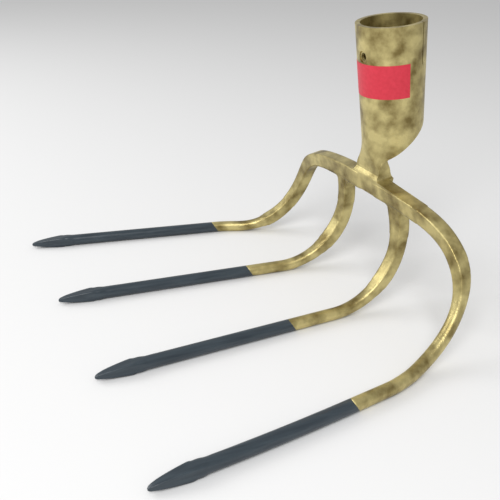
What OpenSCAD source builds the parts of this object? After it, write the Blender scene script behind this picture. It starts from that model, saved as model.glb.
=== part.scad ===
// Four-tine bent fork head: a rolled socket for the handle, a flat forged crosshead
// and four long tines bent forward from it. All sizes are in millimetres.
// The head stands on its tines. X runs across the tines, -Y towards their points, +Z up.
// The origin is the centre of the socket's mouth.

/* [Tines] */
// Diameter of a tine along its straight
tine_d = 7.5; // [6.5:0.1:8.5]
// Distance of the inner points from the middle of the fork
inner_tip_x = 44.7; // [38:0.1:50]
// Distance of the outer points from the middle of the fork
outer_tip_x = 133.6; // [120:0.1:145]
// Distance of the outer tines from the middle where their straight ends
outer_heel_x = 114.4; // [108:0.1:118]
// Length of an outer tine's straight, from its point
outer_straight = 134; // [126:1:140]
// Length of an inner tine from its point to the start of its bend
reach = 149.5; // [142:0.5:160]
// Length of the ground point of a tine
point_len = 30; // [18:1:36]
// Diameter left at the very end of a point
tip_d = 1.2; // [0.8:0.1:2]

/* [Black dip] */
// Bare straight left between the dip line and the left outer tine's heel
bare_len = 1; // [1:1:40]
// Angle of the dip line across the fork
dip_angle = 5; // [0:0.5:8]

/* [Bend] */
// Radius of the bend, to the middle of the metal
bend_r = 45.5; // [40:0.5:52]
// Angle through which the tines are bent from the crosshead
bend_angle = 102.5; // [92:0.5:106]

/* [Inner tine roots] */
// Distance of the inner tines from the middle where they leave the crosshead
inner_root_x = 30.3; // [27:0.1:33]
// Width of an inner tine's root across the fork
root_w = 10; // [8:0.1:11]

/* [Outer tines above their straights] */
// The knee's distance from the middle of the fork
knee_x = 102; // [98:0.5:106]
// The knee's place below the crosshead's middle line, along the bent blank
knee_drop = 76.5; // [70:0.5:82]
// The hip's distance from the middle
hip_x = 95.5; // [90:0.5:99]
// The hip's place below the crosshead's middle line
hip_drop = 36.5; // [30:0.5:42]
// The shoulder's distance from the middle
shoulder_x = 82; // [76:0.5:88]
// The shoulder's place below the crosshead's middle line
shoulder_drop = 4.5; // [2:0.5:8]
// Distance from the middle where the arm turns level
arm_x = 52; // [48:0.5:56]
// Rise of the arm there over the crosshead's middle line
arm_rise = 1.5; // [0:0.5:3]
// Height of the arm where it leaves the crosshead
arm_h = 9.4; // [8:0.1:11]

/* [Crosshead] */
// Thickness of the crosshead's flat
plate_t = 8; // [7:0.1:10]
// How far the flat's front face is ahead of the tines' middle line
plate_front = 3.6; // [3:0.1:4]
// Height of the crosshead's middle line above the end of the bend
crosshead_rise = 11; // [10:0.5:14]
// Depth of the lower edge below the middle line, between the inner tines
web_low = 4.1; // [3:0.1:5]
// Depth of the lower edge below the middle line, beside the inner tines
arm_low = 4.7; // [3.5:0.1:5]
// Height of the upper edge over the middle line, beside the neck
web_high = 7; // [6:0.1:8]
// Radius of the fillets between the inner tines
web_fillet = 6; // [3:0.5:6.5]
// Radius of the fillets beside the inner tines
small_fillet = 2.5; // [1:0.5:3]

/* [Neck] */
// Width of the neck
neck_w = 24.5; // [22:0.5:28]
// Thickness of the neck
neck_t = 8.6; // [7:0.1:9]
// How far the neck's front is ahead of the tines' middle line
neck_front = 1; // [0:0.1:2]
// Radius of the flare where the neck's sides meet the crosshead
neck_flare = 3; // [1:0.5:4]
// Length of the neck's foot, in which its front comes out to the crosshead's
foot_len = 4; // [4:0.5:6]
// Length of the heel that runs down the crosshead's rear below the neck
heel_len = 9; // [6:0.5:10]

/* [Socket] */
// Outside diameter of the socket at its mouth
mouth_d = 41.6; // [38:0.1:44]
// Wall of the socket
wall = 2.2; // [2:0.1:2.8]
// Loss of outside radius for each millimetre of depth
taper = 0.03; // [0.01:0.001:0.035]
// Lean of the socket towards the points
lean = 7.8; // [0:0.1:14]
// Depth from the mouth to the rear of the lip
tube_len = 58; // [50:0.5:64]
// Length of the open throat below the tube, down to the crosshead
throat_len = 33.7; // [32:0.1:40]
// Length that the lip's slope would have if it ran on to the front
lip_len = 25.6; // [22:0.1:27]
// Length over which the front of the throat flattens into the neck
front_blend = 23; // [18:1:26]
// Length over which the throat's edges flatten into the neck
edge_blend = 11; // [8:1:14]
// Depth of the straight seat for the handle, inside the mouth
seat_len = 22; // [22:0.5:40]
// Diameter of the hole for the fixing nail
nail_d = 4.6; // [3:0.1:5]
// Diameter of the nail hole's countersink
nail_sink_d = 7; // [6.5:0.1:8]
// Depth of the nail hole's countersink
nail_sink = 0.8; // [0.5:0.1:1]
// Depth of the nail hole's middle below the mouth
nail_depth = 17.4; // [12:0.1:17.4]
// Angle of the nail hole round the socket, from the front
nail_angle = 2; // [-20:1:20]
// Angle of the rolled seam round the socket, from the front
seam_angle = 116; // [100:1:180]
// Width of the rolled seam's groove
seam_w = 0.8; // [0.4:0.1:1.2]
// Depth of the rolled seam's groove
seam_depth = 0.8; // [0.4:0.1:1.2]
// Length of the rolled seam that stays open
seam_len = 24; // [12:1:45]

/* [Label] */
// Height of the paper label
label_h = 19.8; // [12:0.1:24]
// Distance of the label's upper edge below the mouth
label_depth = 21.4; // [21.4:0.1:26]
// Angle round the socket that the label covers
label_angle = 175; // [120:1:200]
// Thickness of the label
label_t = 0.15; // [0.1:0.05:0.3]

/* [Hidden] */
$fn = 96;
gold = [0.72, 0.66, 0.42];
dip_black = [0.09, 0.12, 0.15];
label_red = [0.78, 0.1, 0.15];
left = -1;
right = 1;
cut = 1; // how far a cutting solid runs past what it cuts
across = [1, 0, 0];

// The blank is flat before it is bent. A place on it has x across the fork and u along
// the tines from their points. Its bend lies between reach and bend_end.
bend_end = reach + bend_r * bend_angle * PI / 180;
mid_u = bend_end + crosshead_rise;
neck_u = mid_u + web_high;
plate_back = plate_t - plate_front;
neck_back = neck_t - neck_front;

function turned(u) = min(max((u - reach) / bend_r * 180 / PI, 0), bend_angle);
function along(u) = [0, cos(turned(u)), sin(turned(u))];
function ahead(u) = [0, -sin(turned(u)), cos(turned(u))];
function middle(u) =
    [0, min(u, reach) + bend_r * sin(turned(u)), bend_r * (1 - cos(turned(u)))]
    + max(u - bend_end, 0) * along(u);
// A point of the bent fork, n ahead of the middle of the metal
function bent(x, u, n = 0) = x * across + [0, 0, tine_d / 2] + middle(u) + n * ahead(u);

// The socket's depth runs down its axis from the mouth
socket_down = [0, sin(lean), -cos(lean)];
socket_front = [0, -cos(lean), -sin(lean)];
socket_len = tube_len + throat_len;
function outer_r(depth) = mouth_d / 2 - taper * depth;
seat_r = outer_r(seat_len) - wall;
neck_point = bent(0, neck_u, neck_front);
mouth = neck_point - socket_down * socket_len - socket_front * outer_r(socket_len);
function on_socket(depth, angle, r) =
    mouth + socket_down * depth + r * (sin(angle) * across + cos(angle) * socket_front);

function blend(a, b, t) = a + (b - a) * t;
function ease(t) = let (c = min(max(t, 0), 1)) c * c * (3 - 2 * c);

// Puts the origin at the mouth
module in_place() {
    translate(-mouth) children();
}

// Shapes a piece that is drawn for the right side
module on_side(side) {
    if (side == right) {
        in_place() children();
    } else {
        in_place() mirror(across) children();
    }
}

// Tines: each is round bar with a blunt ground point, dipped black up to the dip line

inner_slope = (inner_tip_x - inner_root_x) / bend_end;
outer_slope = (outer_tip_x - outer_heel_x) / outer_straight;
function inner_x(u) = inner_tip_x - inner_slope * u;
function outer_x(u) = outer_tip_x - outer_slope * u;
dip_slope = tan(dip_angle);
dip_heel = outer_straight - bare_len;
dip_mid = dip_heel - dip_slope * outer_x(dip_heel);
function dip_u(side, tip_x, slope) =
    (dip_mid - side * dip_slope * tip_x) / (1 - side * dip_slope * slope);
function inner_dip(side) = dip_u(side, inner_tip_x, inner_slope);
function outer_dip(side) = dip_u(side, outer_tip_x, outer_slope);

point_steps = 8;
// The point's radius grows with the square root of the distance from its end
point_profile = [
    for (j = [0 : point_steps])
        let (t = j / point_steps)
        [blend(tip_d, tine_d, t) / 2, point_len * t * t]
];

module tine(tip_x, slope, dip) {
    splay = atan(slope);
    heel = dip / cos(splay);
    translate([tip_x, 0, tine_d / 2]) rotate([-90, 0, splay]) rotate_extrude()
        polygon(concat([[0, 0]], point_profile, [[tine_d / 2, heel], [0, heel]]));
}

module inner_tine(side) {
    color(dip_black) on_side(side) tine(inner_tip_x, inner_slope, inner_dip(side));
}

module outer_tine(side) {
    color(dip_black) on_side(side) tine(outer_tip_x, outer_slope, outer_dip(side));
}

// Bends: forged bar that squares up from the round tine to the crosshead's flat

ring_points = 28;
inner_rings = 26;
outer_rings = 40;
round_bar = 2;
square_bar = 7;

function power(v, e) = sign(v) * pow(abs(v), e);
// A section is [x, u, heading, width, depth, shift ahead, squareness]
function ring(s) = [
    for (i = [0 : ring_points - 1])
        let (
            a = 360 * i / ring_points,
            w = s[3] / 2 * power(cos(a), 2 / s[6]),
            n = s[4] / 2 * power(sin(a), 2 / s[6])
        )
        bent(s[0], s[1], s[5] + n) + w * (cos(s[2]) * across + sin(s[2]) * along(s[1]))
];

module sweep(sections) {
    rings = [for (s = sections) ring(s)];
    last = len(rings) - 1;
    sides = [
        for (j = [0 : last - 1], i = [0 : ring_points - 1])
            let (
                k = (i + 1) % ring_points,
                low = j * ring_points,
                high = low + ring_points
            )
            each [[low + i, high + k, low + k], [low + i, high + i, high + k]]
    ];
    first_end = [for (i = [0 : ring_points - 1]) i];
    last_end = [for (i = [ring_points - 1 : -1 : 0]) last * ring_points + i];
    polyhedron(
        points = [for (r = rings) each r],
        faces = concat([first_end, last_end], sides),
        convexity = 6
    );
}

function inner_section(u) =
    let (t = ease((u - reach) / (bend_end - reach)))
    [
        inner_x(u), u, atan(inner_slope),
        blend(tine_d, root_w, t), blend(tine_d, 2 * plate_front, t),
        0, blend(round_bar, square_bar, t)
    ];

module inner_bend(side) {
    dip = inner_dip(side);
    color(gold) on_side(side) sweep(
        [for (j = [0 : inner_rings]) inner_section(blend(dip, bend_end, j / inner_rings))]
    );
}

// The middle line of an outer tine above its straight is a clamped cubic spline
lead = 10;
outer_line = [
    [outer_heel_x, outer_straight],
    [outer_x(outer_straight + lead), outer_straight + lead],
    [knee_x, mid_u - knee_drop],
    [hip_x, mid_u - hip_drop],
    [shoulder_x, mid_u - shoulder_drop],
    [arm_x, mid_u + arm_rise],
    [0, mid_u]
];
knots = [0, 0, 0, 0, 1, 2, 3, 4, 4, 4, 4];
arm_cut = 3.52; // where along the spline the arm meets the crosshead
square_from = 1.6;
flat_from = 2.4;

function share(a, b) = b == 0 ? 0 : a / b;
function basis(i, k, t) =
    k == 0
    ? (t >= knots[i] && t < knots[i + 1] ? 1 : 0)
    : share(t - knots[i], knots[i + k] - knots[i]) * basis(i, k - 1, t)
        + share(knots[i + k + 1] - t, knots[i + k + 1] - knots[i + 1]) * basis(i + 1, k - 1, t);
function outer_at(t) = [for (i = [0 : 6]) basis(i, 3, t)] * outer_line;
small = 0.01;
function outer_heading(t) =
    let (
        from = outer_at(max(t - small, 0)),
        to = outer_at(t + small)
    )
    atan2(from[0] - to[0], to[1] - from[1]);

function outer_section(t) =
    let (
        p = outer_at(t),
        w = ease((t - square_from) / (arm_cut - square_from)),
        f = ease((t - flat_from) / (arm_cut - flat_from))
    )
    [
        p[0], p[1], outer_heading(t),
        blend(tine_d, arm_h, w), blend(tine_d, plate_t, w),
        f * (plate_front - plate_back) / 2, blend(round_bar, square_bar, f)
    ];

module outer_bend(side) {
    dip = outer_dip(side);
    dip_section = [outer_x(dip), dip, atan(outer_slope), tine_d, tine_d, 0, round_bar];
    color(gold) on_side(side) sweep(concat(
        [dip_section],
        [for (j = [0 : outer_rings]) outer_section(arm_cut * j / outer_rings)]
    ));
}

// Crosshead: its outline is drawn flat round the middle line, then stood up on the bend

function unit(v) = v / norm(v);
fillet_points = 8;
// The corner b of the path a, b, c, rounded to the radius r
function corner(a, b, c, r) =
    r == 0 ? [b] :
    let (
        p = unit(a - b),
        q = unit(c - b),
        half = acos(p * q) / 2,
        centre = b + unit(p + q) * r / sin(half),
        from = b + p * r / tan(half) - centre,
        to = b + q * r / tan(half) - centre,
        start = atan2(from[1], from[0]),
        swing = atan2(to[1], to[0]) - start,
        turn = swing > 180 ? swing - 360 : swing < -180 ? swing + 360 : swing
    )
    [
        for (i = [0 : fillet_points])
            let (a = start + turn * i / fillet_points)
            centre + r * [cos(a), sin(a)]
    ];
// A path's corner is [x, y, radius]
function rounded(path) = [
    for (i = [0 : len(path) - 1])
        let (
            a = path[(i + len(path) - 1) % len(path)],
            b = path[i],
            c = path[(i + 1) % len(path)]
        )
        each corner([a[0], a[1]], [b[0], b[1]], [c[0], c[1]], b[2])
];

arm_end = outer_at(arm_cut) - [0, mid_u];
arm_side = [cos(outer_heading(arm_cut)), sin(outer_heading(arm_cut))] * arm_h / 2;
root_out = inner_root_x + root_w / 2;
root_in = inner_root_x - root_w / 2;
right_outline = [
    [neck_w / 2 + neck_flare, web_high, 0],
    [arm_end[0] + arm_side[0], arm_end[1] + arm_side[1], 0],
    [arm_end[0] - arm_side[0], arm_end[1] - arm_side[1], 0],
    [root_out, -arm_low, small_fillet],
    [root_out, -crosshead_rise, 0],
    [root_in, -crosshead_rise, 0],
    [root_in, -web_low, web_fillet]
];
left_outline = [
    for (i = [len(right_outline) - 1 : -1 : 0])
        [-right_outline[i][0], right_outline[i][1], right_outline[i][2]]
];

// The rear of the crosshead swells into the heel of the neck
module heel() {
    heel_w = neck_w + 2 * neck_flare;
    translate([-heel_w / 2, 0, 0]) rotate([90, 0, 90]) linear_extrude(heel_w) polygon([
        [web_high, cut - plate_back],
        [web_high, -neck_back],
        [web_high - heel_len, -plate_back],
        [web_high - heel_len, cut - plate_back]
    ]);
}

module crosshead() {
    color(gold) in_place() translate(bent(0, mid_u)) rotate([bend_angle, 0, 0]) {
        translate([0, 0, -plate_back]) linear_extrude(plate_t)
            polygon(rounded(concat(right_outline, left_outline)));
        heel();
    }
}

// Throat: the open lower part of the socket, which flattens into the neck

body_rows = 20;
flare_rows = 5;
throat_rows = body_rows + flare_rows;
throat_cols = 24;
lip_gap = 7; // half the angle at which the throat stays open, right below the tube
lip_round = 8; // how softly the lip turns into the neck's side

function flare_turn(row) = 90 * max(row - body_rows, 0) / flare_rows;
function row_depth(row) =
    blend(tube_len, socket_len - neck_flare, min(row / body_rows, 1))
    + neck_flare * sin(flare_turn(row));
function soft_max(a, b, k) = (a + b + sqrt((a - b) * (a - b) + k * k)) / 2;
// Half the angle that the throat covers, from the front, at a depth
function lip_angle(depth) =
    let (
        slope = acos(min(2 * (depth - tube_len) / lip_len - 1, 1)),
        side = asin(neck_w / 2 / outer_r(depth))
    )
    min(soft_max(slope, side, lip_round), 180 - lip_gap);

// s runs from one edge of the throat to the other, from -1 to 1
function throat_point(row, s, inset, n, n_foot) =
    let (
        depth = row_depth(row),
        foot = socket_len - foot_len,
        start = foot - blend(front_blend, edge_blend, s * s),
        w = ease((depth - start) / (foot - start)),
        rolled = on_socket(depth, s * lip_angle(depth), outer_r(depth) - inset),
        half = neck_w / 2 + neck_flare * (1 - cos(flare_turn(row))),
        ahead = blend(n, n_foot, ease((depth - foot) / foot_len)),
        flat = bent(s * half, neck_u + socket_len - depth, ahead)
    )
    blend(rolled, flat, w);
function throat_skin(inset, n, n_foot) = [
    for (row = [0 : throat_rows], col = [0 : throat_cols])
        throat_point(row, 2 * col / throat_cols - 1, inset, n, n_foot)
];

module throat() {
    wide = throat_cols + 1;
    back = wide * (throat_rows + 1);
    last = throat_rows * wide;
    skins = [
        for (row = [0 : throat_rows - 1], col = [0 : throat_cols - 1])
            let (a = row * wide + col, b = a + 1, c = a + wide, d = c + 1)
            each [
                [a, b, d], [a, d, c],
                [back + a, back + d, back + b], [back + a, back + c, back + d]
            ]
    ];
    edges = [
        for (row = [0 : throat_rows - 1])
            let (a = row * wide, b = a + wide, c = a + throat_cols, d = c + wide)
            each [
                [a, b, back + b], [a, back + b, back + a],
                [c, back + d, d], [c, back + c, back + d]
            ]
    ];
    ends = [
        for (col = [0 : throat_cols - 1])
            let (a = col, b = col + 1, c = last + col, d = last + col + 1)
            each [
                [a, back + b, b], [a, back + a, back + b],
                [c, d, back + d], [c, back + d, back + c]
            ]
    ];
    color(gold) in_place() polyhedron(
        points = concat(
            throat_skin(0, neck_front, plate_front),
            throat_skin(wall, -neck_back, -neck_back)
        ),
        faces = concat(skins, edges, ends),
        convexity = 8
    );
}

// Socket: a plate rolled into a tapered tube, with an open seam at the mouth

// Turns Z down the bore and Y to the rear
module in_socket() {
    rotate([180 + lean, 0, 0]) mirror([0, 1, 0]) children();
}

module at_angle(angle) {
    rotate([0, 0, angle - 90]) children();
}

module socket() {
    color(gold) in_socket() difference() {
        rotate_extrude() polygon([
            [seat_r, 0],
            [outer_r(0), 0],
            [outer_r(tube_len), tube_len],
            [outer_r(tube_len) - wall, tube_len],
            [seat_r, seat_len]
        ]);
        at_angle(nail_angle) translate([0, 0, nail_depth]) rotate([0, 90, 0]) {
            translate([0, 0, seat_r / 2]) cylinder(h = seat_r, d = nail_d);
            translate([0, 0, outer_r(nail_depth) - nail_sink])
                cylinder(h = nail_sink + cut, d = nail_sink_d);
        }
        at_angle(seam_angle) translate([outer_r(0) - seam_depth - taper * seam_len, -seam_w / 2, -cut])
            cube([seam_depth + taper * seam_len + cut, seam_w, seam_len + cut]);
    }
}

// Label: paper glued round the front of the socket

module label() {
    low = label_depth + label_h;
    color(label_red) in_socket() at_angle(-label_angle / 2) rotate_extrude(angle = label_angle) polygon([
        [outer_r(label_depth), label_depth],
        [outer_r(label_depth) + label_t, label_depth],
        [outer_r(low) + label_t, low],
        [outer_r(low), low]
    ]);
}

socket();
throat();
crosshead();
outer_bend(left);  // left_outer_bend
inner_bend(left);  // left_inner_bend
inner_bend(right);  // right_inner_bend
outer_bend(right);  // right_outer_bend
outer_tine(left);  // left_outer_tine
inner_tine(left);  // left_inner_tine
inner_tine(right);  // right_inner_tine
outer_tine(right);  // right_outer_tine
label();
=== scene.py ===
"""A four-tine bent fork head: forged steel lacquered gold, with black-dipped tine ends."""
import math

import bmesh
import bpy
from mathutils import Matrix, Vector


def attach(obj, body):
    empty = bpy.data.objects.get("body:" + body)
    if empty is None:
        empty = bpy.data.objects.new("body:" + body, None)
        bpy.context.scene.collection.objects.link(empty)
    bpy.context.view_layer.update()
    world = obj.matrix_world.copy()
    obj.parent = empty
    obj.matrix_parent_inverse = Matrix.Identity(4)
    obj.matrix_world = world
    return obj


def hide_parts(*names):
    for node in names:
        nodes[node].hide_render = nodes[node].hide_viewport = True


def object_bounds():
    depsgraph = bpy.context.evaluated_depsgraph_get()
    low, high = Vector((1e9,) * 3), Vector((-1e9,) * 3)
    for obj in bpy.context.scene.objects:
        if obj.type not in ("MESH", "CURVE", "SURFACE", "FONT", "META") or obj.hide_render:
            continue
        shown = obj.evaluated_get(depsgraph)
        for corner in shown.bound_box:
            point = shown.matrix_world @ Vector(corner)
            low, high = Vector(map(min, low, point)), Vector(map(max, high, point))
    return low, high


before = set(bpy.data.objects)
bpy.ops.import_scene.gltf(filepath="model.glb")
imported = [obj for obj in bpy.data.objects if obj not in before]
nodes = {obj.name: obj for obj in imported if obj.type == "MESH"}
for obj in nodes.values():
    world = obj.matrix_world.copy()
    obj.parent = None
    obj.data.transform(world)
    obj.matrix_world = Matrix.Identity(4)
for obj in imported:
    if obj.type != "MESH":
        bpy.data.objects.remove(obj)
cad_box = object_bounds()
MM = 0.001

# Camera
# It stands at the right of the fork, a little above the socket's mouth, and looks down
# over the tines. Its place and lens come from the photograph's perspective.
CAMERA_PLACE = Vector((371.7, -263.5, 60.6)) * MM
CAMERA_AZIMUTH = 64.61
CAMERA_ELEVATION = 25.06
CAMERA_ROLL = 1.62
CAMERA_LENS = 53.99
CAMERA_SHIFT = (0.0038, 0.0011)

camera = bpy.data.objects.new("camera", bpy.data.cameras.new("camera"))
bpy.context.scene.collection.objects.link(camera)
bpy.context.scene.camera = camera
camera.data.sensor_width = 36
camera.data.lens = CAMERA_LENS
camera.data.shift_x, camera.data.shift_y = CAMERA_SHIFT
camera.data.clip_start = 0.01
camera.matrix_world = (
    Matrix.Translation(CAMERA_PLACE)
    @ Matrix.Rotation(math.radians(CAMERA_AZIMUTH), 4, "Z")
    @ Matrix.Rotation(math.radians(90 - CAMERA_ELEVATION), 4, "X")
    @ Matrix.Rotation(math.radians(CAMERA_ROLL), 4, "Z")
)

# Studio
# A white floor and a white world, with two soft lamps over the head.
FLOOR_LEVEL = cad_box[0].z
bpy.context.scene.view_settings.view_transform = "Standard"


def new_material(name):
    material = bpy.data.materials.new(name)
    material.use_nodes = True
    material.node_tree.nodes.clear()
    return material, material.node_tree.nodes, material.node_tree.links


bpy.ops.object.select_all(action="DESELECT")
bpy.ops.mesh.primitive_plane_add(size=6, location=(0, 0, FLOOR_LEVEL))
floor = bpy.context.object
floor.name = "floor"
floor_paint, made, join = new_material("floor_white")
out = made.new("ShaderNodeOutputMaterial")
matte = made.new("ShaderNodeBsdfDiffuse")
matte.inputs["Color"].default_value = (0.8, 0.8, 0.8, 1)
join.new(matte.outputs[0], out.inputs["Surface"])
floor.data.materials.append(floor_paint)

world = bpy.data.worlds.new("studio")
bpy.context.scene.world = world
world.use_nodes = True
made, join = world.node_tree.nodes, world.node_tree.links
made.clear()
out = made.new("ShaderNodeOutputWorld")
soft = made.new("ShaderNodeBackground")
soft.inputs["Color"].default_value = (1, 1, 1, 1)
soft.inputs["Strength"].default_value = 0.55
white = made.new("ShaderNodeBackground")
white.inputs["Color"].default_value = (1, 1, 1, 1)
white.inputs["Strength"].default_value = 1
path = made.new("ShaderNodeLightPath")
pick = made.new("ShaderNodeMixShader")
join.new(path.outputs["Is Camera Ray"], pick.inputs[0])
join.new(soft.outputs[0], pick.inputs[1])
join.new(white.outputs[0], pick.inputs[2])
join.new(pick.outputs[0], out.inputs["Surface"])


def soft_lamp(name, place, size, watts):
    data = bpy.data.lights.new(name, "AREA")
    data.shape = "RECTANGLE"
    data.size, data.size_y = size
    data.energy = watts
    lamp = bpy.data.objects.new(name, data)
    bpy.context.scene.collection.objects.link(lamp)
    lamp.location = place
    lamp.rotation_euler = (-Vector(place)).to_track_quat("-Z", "Y").to_euler()


soft_lamp("key", (0.9, -0.7, 0.9), (0.8, 0.8), 14)
soft_lamp("fill", (-0.6, -0.9, 0.5), (0.9, 0.6), 6)


# Blank
# The tines and the crosshead are forged flat from round bar, on an anvil where X runs
# across the fork, Y from the points up the tines and Z out of the front. Then the blank
# is bent in one block, so all four bends share one axis.
ANVIL = Vector((0, cad_box[0].y, cad_box[0].z + 3.75 * MM))
BAR_D = 7.5
REACH = 149.5
BEND_R = 45.5
BEND_ANGLE = math.radians(102.5)
BEND_END = REACH + BEND_R * BEND_ANGLE
MIDDLE_U = BEND_END + 11
ROUND_FIT = 0.93  # a creaseless square cage subdivides to this share of its width


def select_only(*objects):
    bpy.ops.object.select_all(action="DESELECT")
    for thing in objects:
        thing.select_set(True)
    bpy.context.view_layer.objects.active = objects[0]


def apply_modifier(thing, kind, **settings):
    select_only(thing)
    step = thing.modifiers.new(kind.lower(), kind)
    for name, value in settings.items():
        setattr(step, name, value)
    bpy.ops.object.modifier_apply(modifier=step.name)


# Cubic curve through the flat blank, as a row of (x, u) points
def arm_line(corners, steps):
    data = bpy.data.curves.new("arm_line", "CURVE")
    data.dimensions = "2D"
    spline = data.splines.new("NURBS")
    spline.points.add(len(corners) - 1)
    for point, (x, u) in zip(spline.points, corners):
        point.co = (x, u, 0, 1)
    spline.order_u = 4
    spline.use_endpoint_u = True
    spline.resolution_u = steps
    line = bpy.data.objects.new("arm_line", data)
    points = [(v.co.x, v.co.y) for v in line.to_mesh().vertices]
    bpy.data.objects.remove(line)
    return points


def spread(table, place):
    """A row of the table at the place, mixed evenly from its neighbours."""
    for low, high in zip(table, table[1:]):
        if place <= high[0]:
            t = (place - low[0]) / (high[0] - low[0])
            return [a + (b - a) * t for a, b in zip(low[1:], high[1:])]
    return list(table[-1][1:])


# Draws a bar out along a line of (x, u) points. A row of its table is the distance from
# the point of the tine, the width, the depth, the shift outwards, the shift to the front
# and how sharp its four ridges are.
def draw_out(name, side, line, table):
    stations = []
    gone = 0
    for j, (x, u) in enumerate(line):
        before = Vector(line[max(j - 1, 0)])
        after = Vector(line[min(j + 1, len(line) - 1)])
        gone += (Vector((x, u)) - before).length
        way = (after - before).normalized()
        width, depth, out, front, sharp = spread(table, gone)
        full = 1 + (1 / ROUND_FIT - 1) * (1 - sharp)
        x += way.y * out
        u -= way.x * out
        stations.append((side * x, u, side * math.atan2(-way.x, way.y), width * full, depth * full, front, sharp))
    first = stations[0]
    bpy.ops.object.select_all(action="DESELECT")
    bpy.ops.mesh.primitive_cube_add(size=1, location=(0, 0, 0))
    bar = bpy.context.object
    bar.name = name
    bpy.ops.object.mode_set(mode="EDIT")
    bpy.ops.transform.resize(value=(first[3] * MM, 0.1 * MM, first[4] * MM))
    bpy.ops.transform.translate(value=Vector((first[0], first[1], first[5])) * MM)
    bpy.ops.mesh.select_mode(type="FACE")
    bpy.ops.mesh.select_all(action="DESELECT")
    mesh = bmesh.from_edit_mesh(bar.data)
    mesh.edges.layers.float.new("crease_edge")
    mesh.faces.ensure_lookup_table()
    max(mesh.faces, key=lambda face: face.normal.y).select_set(True)
    bmesh.update_edit_mesh(bar.data)
    for last, here in zip(stations, stations[1:]):
        centre = Vector((here[0], here[1], here[5])) * MM
        step = centre - Vector((last[0], last[1], last[5])) * MM
        stretch = (here[3] / last[3], 1, here[4] / last[4])
        bpy.ops.mesh.extrude_region_move(TRANSFORM_OT_translate={"value": step})
        mesh = bmesh.from_edit_mesh(bar.data)
        crease = mesh.edges.layers.float["crease_edge"]
        for vert in mesh.verts:
            for edge in vert.link_edges:
                if vert.select and not edge.select:
                    edge[crease] = (last[6] + here[6]) / 2
        bmesh.update_edit_mesh(bar.data)
        bpy.ops.transform.rotate(value=last[2], orient_axis="Z", center_override=centre)
        bpy.ops.transform.resize(value=stretch, center_override=centre)
        bpy.ops.transform.rotate(value=-here[2], orient_axis="Z", center_override=centre)
    bpy.ops.mesh.select_all(action="SELECT")
    bpy.ops.mesh.normals_make_consistent(inside=False)
    bpy.ops.object.mode_set(mode="OBJECT")
    apply_modifier(bar, "SUBSURF", levels=3, render_levels=3)
    return bar


# Stands the flat blank on its points, bends it forward and lays it on the floor again
def bend_forward(bar):
    select_only(bar)
    bar.location = (0, -REACH * MM, 0)
    bpy.ops.object.transform_apply(location=True, rotation=True, scale=True)
    bar.rotation_euler = (math.pi / 2, 0, 0)
    bpy.ops.object.transform_apply(location=True, rotation=True, scale=True)
    low = min(v.co.z for v in bar.data.vertices)
    high = max(v.co.z for v in bar.data.vertices)
    start = -low / (high - low)
    stop = (BEND_R * BEND_ANGLE * MM - low) / (high - low)
    apply_modifier(
        bar, "SIMPLE_DEFORM", deform_method="BEND", deform_axis="X",
        angle=-BEND_ANGLE, limits=(start, stop),
    )
    bar.rotation_euler = (-math.pi / 2, 0, 0)
    bpy.ops.object.transform_apply(location=True, rotation=True, scale=True)
    bar.location = ANVIL + Vector((0, REACH * MM, 0))
    bpy.ops.object.transform_apply(location=True, rotation=True, scale=True)


# Points: blunt, ground on four sides, and a little flatter below than above
POINT = [
    (0, 1.3, 1.3, 0, -0.9, 1), (1.5, 2.3, 2.3, 0, -0.7, 1), (4, 3.4, 3.4, 0, -0.5, 1),
    (8, 4.5, 4.5, 0, -0.35, 0.9), (15, 5.9, 5.9, 0, -0.15, 0.75), (22, 6.8, 6.8, 0, -0.05, 0.5),
    (30, 7.5, 7.5, 0, 0, 0.1), (36, 7.5, 7.5, 0, 0, 0),
]
INNER_TIP_X = 44.7
INNER_ROOT_X = 30.3
OUTER_TIP_X = 133.6
OUTER_CORNERS = [
    (114.4, 134), (112.97, 144), (102, MIDDLE_U - 76.5), (95.5, MIDDLE_U - 36.5),
    (82, MIDDLE_U - 4.5), (52, MIDDLE_U + 1.5), (0, MIDDLE_U),
]
FIRST_STEPS = [0, 0.8, 2, 4, 7, 11, 16, 22, 28, 34]


def straight_line(tip, heel, steps, bow=0):
    line = []
    for place in FIRST_STEPS + [FIRST_STEPS[-1] + (heel[1] - FIRST_STEPS[-1]) * j / steps for j in range(1, steps + 1)]:
        t = place / heel[1]
        line.append((tip + (heel[0] - tip) * t + bow * math.sin(math.pi * t), place))
    return line


root_u = MIDDLE_U
inner_line = straight_line(INNER_TIP_X, (INNER_TIP_X - (INNER_TIP_X - INNER_ROOT_X) / BEND_END * root_u, root_u), 36)
arm_points = arm_line(OUTER_CORNERS, 8)
LEFT_INNER = POINT + [
    (150, 7.5, 7.5, 0, 0, 0), (175, 8.2, 7.5, 0, 0, 0.2), (192, 9, 7.5, 0, 0, 0.6),
    (208, 9.5, 7.6, 0, 0, 0.95), (216, 8.8, 7.9, 0.4, -0.1, 1), (224, 8.3, 8.2, 0.85, -0.2, 1),
    (240, 8.3, 8, 0.85, -0.4, 1),
]
RIGHT_INNER = POINT + [
    (150, 7.5, 7.5, 0, 0, 0), (175, 7.7, 7.4, 0, 0, 0.2), (192, 7.9, 7.2, 0, 0, 0.6),
    (208, 8.3, 7, 0, 0.1, 0.95), (217, 9.6, 6.7, -0.3, 0.25, 1), (223, 11.3, 6.5, -0.55, 0.35, 1),
    (240, 12.5, 7, -0.55, 0.1, 1),
]
HEEL = 134 / math.cos(math.atan(19.2 / 134))
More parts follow.
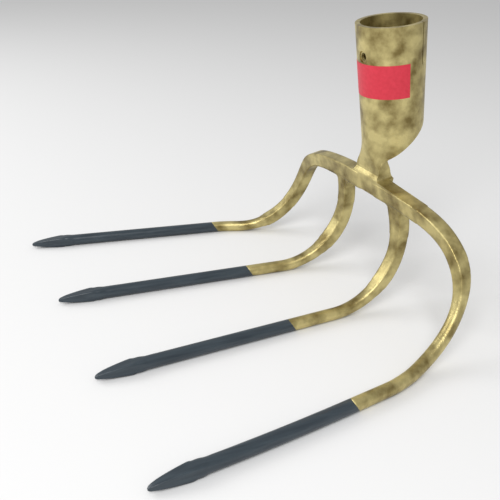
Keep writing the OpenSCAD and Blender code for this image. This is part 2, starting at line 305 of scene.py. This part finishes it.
LEFT_OUTER = POINT + [
    (HEEL + 30, 7.5, 7.5, 0, 0, 0), (HEEL + 45, 7.5, 7.5, 0, 0, 0.7), (HEEL + 60, 7.6, 7.6, 0, 0, 1),
    (HEEL + 95, 8.4, 7.8, 0, 0, 1), (HEEL + 115, 9, 8, 0, -0.3, 1), (HEEL + 133, 9.6, 8, 0, -0.4, 1),
    (HEEL + 165, 11.5, 8, 0.6, -0.4, 1), (HEEL + 200, 12, 8, 0.8, -0.4, 1),
]
RIGHT_OUTER = POINT + [
    (HEEL + 62, 7.5, 7.5, 0, 0, 0), (HEEL + 95, 8.4, 7.8, 0, 0, 0.5), (HEEL + 110, 9, 8, 0, -0.3, 0.95),
    (HEEL + 133, 9.4, 8, 0, -0.4, 1), (HEEL + 200, 9.4, 8, 0, -0.4, 1),
]
bars = {
    "left_outer": draw_out("left_outer", -1, straight_line(OUTER_TIP_X, (114.4, 134), 12) + arm_points[1:], LEFT_OUTER),
    "left_inner": draw_out("left_inner", -1, inner_line, LEFT_INNER),
    "right_inner": draw_out("right_inner", 1, inner_line, RIGHT_INNER),
    "right_outer": draw_out("right_outer", 1, straight_line(OUTER_TIP_X, (114.4, 134), 12, 1.5) + arm_points[1:], RIGHT_OUTER),
}
for bar in bars.values():
    bend_forward(bar)

# Dip line
# The tines were dipped together, so one slanting plane parts the black ends from the gold.
DIP_PLACE = ANVIL + Vector((0, 123.2, 0)) * MM
DIP_ACROSS = math.tan(math.radians(5))
DIP_DROP = 0.66
dip_way = Vector((DIP_ACROSS, 1, DIP_DROP)).normalized()


def cut_off(piece, place, way, name):
    """Cuts the piece at a plane and gives what lies behind it to a new piece."""
    select_only(piece)
    bpy.ops.object.duplicate()
    rest = bpy.context.object
    rest.name = name
    for half, behind in ((piece, False), (rest, True)):
        select_only(half)
        bpy.ops.object.mode_set(mode="EDIT")
        bpy.ops.mesh.select_all(action="SELECT")
        bpy.ops.mesh.bisect(
            plane_co=place, plane_no=way, use_fill=True, clear_outer=behind, clear_inner=not behind
        )
        bpy.ops.object.mode_set(mode="OBJECT")
    return rest


tines = {}
for name, bar in bars.items():
    tines[name] = cut_off(bar, DIP_PLACE, dip_way, name + "_tine_visual")


# Gold lacquer
# The forging is dipped in clear gold lacquer over its rough, pitted scale.
def gold_lacquer():
    material, made, join = new_material("gold_lacquer")
    out = made.new("ShaderNodeOutputMaterial")
    metal = made.new("ShaderNodeBsdfPrincipled")
    metal.inputs["Metallic"].default_value = 0.85
    place = made.new("ShaderNodeTexCoord")
    blotch = made.new("ShaderNodeTexNoise")
    blotch.inputs["Scale"].default_value = 90
    blotch.inputs["Detail"].default_value = 6
    ramp = made.new("ShaderNodeValToRGB")
    ramp.color_ramp.elements[0].position = 0.32
    ramp.color_ramp.elements[0].color = (0.2, 0.15, 0.05, 1)
    ramp.color_ramp.elements[1].position = 0.62
    ramp.color_ramp.elements[1].color = (0.62, 0.53, 0.24, 1)
    pits = made.new("ShaderNodeTexNoise")
    pits.inputs["Scale"].default_value = 900
    pits.inputs["Detail"].default_value = 4
    bump = made.new("ShaderNodeBump")
    bump.inputs["Strength"].default_value = 0.5
    bump.inputs["Distance"].default_value = 0.0004
    rough = made.new("ShaderNodeMapRange")
    rough.inputs["To Min"].default_value = 0.28
    rough.inputs["To Max"].default_value = 0.5
    join.new(place.outputs["Object"], blotch.inputs["Vector"])
    join.new(place.outputs["Object"], pits.inputs["Vector"])
    join.new(blotch.outputs["Fac"], ramp.inputs["Fac"])
    join.new(ramp.outputs["Color"], metal.inputs["Base Color"])
    join.new(pits.outputs["Fac"], bump.inputs["Height"])
    join.new(bump.outputs["Normal"], metal.inputs["Normal"])
    join.new(blotch.outputs["Fac"], rough.inputs["Value"])
    join.new(rough.outputs["Result"], metal.inputs["Roughness"])
    join.new(metal.outputs["BSDF"], out.inputs["Surface"])
    return material


# Black dip
# The tine ends are dipped in blue-black paint, which thins towards the points; here it is drawn as an even coat with
# lengthwise streaks.
def black_dip():
    material, made, join = new_material("black_dip")
    out = made.new("ShaderNodeOutputMaterial")
    paint = made.new("ShaderNodeBsdfPrincipled")
    place = made.new("ShaderNodeTexCoord")
    streaks = made.new("ShaderNodeTexNoise")
    streaks.inputs["Scale"].default_value = 60
    streaks.inputs["Detail"].default_value = 5
    along = made.new("ShaderNodeMapping")
    along.inputs["Scale"].default_value = (8, 0.6, 8)
    ramp = made.new("ShaderNodeValToRGB")
    ramp.color_ramp.elements[0].color = (0.006, 0.012, 0.02, 1)
    ramp.color_ramp.elements[1].color = (0.05, 0.07, 0.085, 1)
    bump = made.new("ShaderNodeBump")
    bump.inputs["Strength"].default_value = 0.4
    bump.inputs["Distance"].default_value = 0.0004
    paint.inputs["Roughness"].default_value = 0.3
    join.new(place.outputs["Object"], along.inputs["Vector"])
    join.new(along.outputs["Vector"], streaks.inputs["Vector"])
    join.new(streaks.outputs["Fac"], ramp.inputs["Fac"])
    join.new(ramp.outputs["Color"], paint.inputs["Base Color"])
    join.new(streaks.outputs["Fac"], bump.inputs["Height"])
    join.new(bump.outputs["Normal"], paint.inputs["Normal"])
    join.new(paint.outputs["BSDF"], out.inputs["Surface"])
    return material


# Label
# A paper band round the socket: red, with black edges and a white stripe. Only the red paper is drawn here, with fine
# flecks.
def label_paper():
    material, made, join = new_material("label_paper")
    out = made.new("ShaderNodeOutputMaterial")
    paper = made.new("ShaderNodeBsdfPrincipled")
    paper.inputs["Roughness"].default_value = 0.45
    place = made.new("ShaderNodeTexCoord")
    fleck = made.new("ShaderNodeTexNoise")
    fleck.inputs["Scale"].default_value = 500
    ramp = made.new("ShaderNodeValToRGB")
    ramp.color_ramp.elements[0].color = (0.5, 0.012, 0.03, 1)
    ramp.color_ramp.elements[1].color = (0.66, 0.03, 0.06, 1)
    join.new(place.outputs["Object"], fleck.inputs["Vector"])
    join.new(fleck.outputs["Fac"], ramp.inputs["Fac"])
    join.new(ramp.outputs["Color"], paper.inputs["Base Color"])
    join.new(paper.outputs["BSDF"], out.inputs["Surface"])
    return material


finishes = {"gold": gold_lacquer(), "black": black_dip(), "paper": label_paper()}
for name, bar in bars.items():
    tine = tines[name]
    bar.data.materials.append(finishes["gold"])
    tine.data.materials.append(finishes["black"])
    for piece in (bar, tine):
        select_only(piece)
        bpy.ops.object.shade_smooth()
        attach(piece, "root")
    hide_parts(name + "_bend")
    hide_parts(name + "_tine")
for name in ("socket", "throat", "crosshead", "label"):
    nodes[name].data.materials.clear()
    nodes[name].data.materials.append(finishes["paper" if name == "label" else "gold"])
